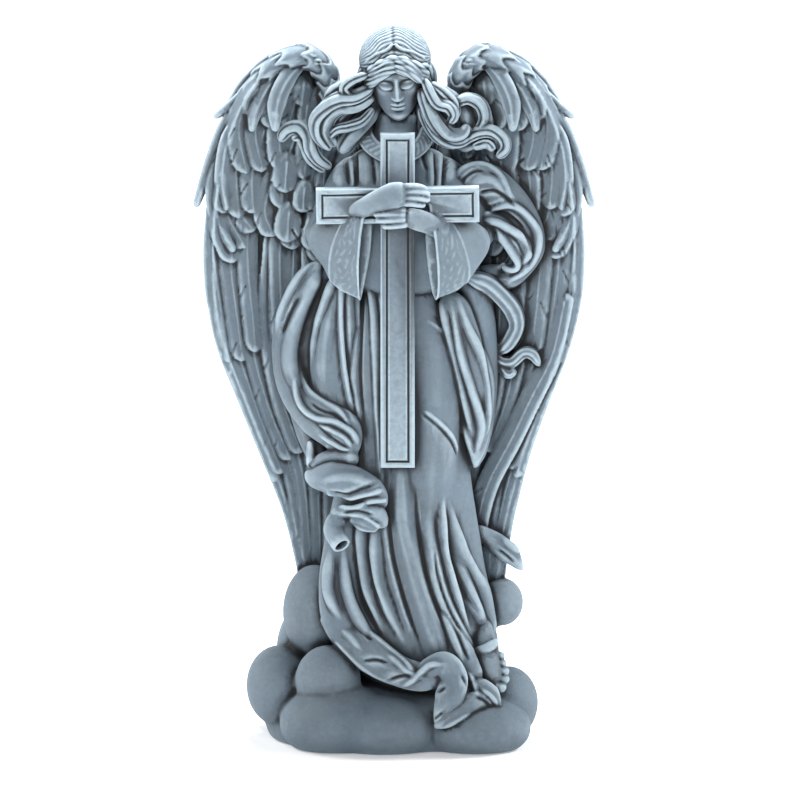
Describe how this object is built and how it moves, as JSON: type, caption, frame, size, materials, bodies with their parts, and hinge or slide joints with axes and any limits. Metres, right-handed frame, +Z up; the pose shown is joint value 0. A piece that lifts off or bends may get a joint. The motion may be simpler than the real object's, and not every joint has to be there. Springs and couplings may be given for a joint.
{
  "type": "angel statue",
  "caption": "Cast stone angel with tall folded wings, a long robe and a mantle, clasping a plain cross and standing on a cloud base.",
  "frame": {"origin": "on the flat underside, below the middle of the figure", "axes": "+Z up, the figure faces -Y, and its left hand side is +X"},
  "size_m": [0.3274, 0.1706, 0.5967],
  "materials": {
    "stone": "weathered grey cast stone, darker in its hollows and paler on its edges"
  },
  "bodies": {
    "root": {"angel_statue": "stone"}
  },
  "joints": []
}
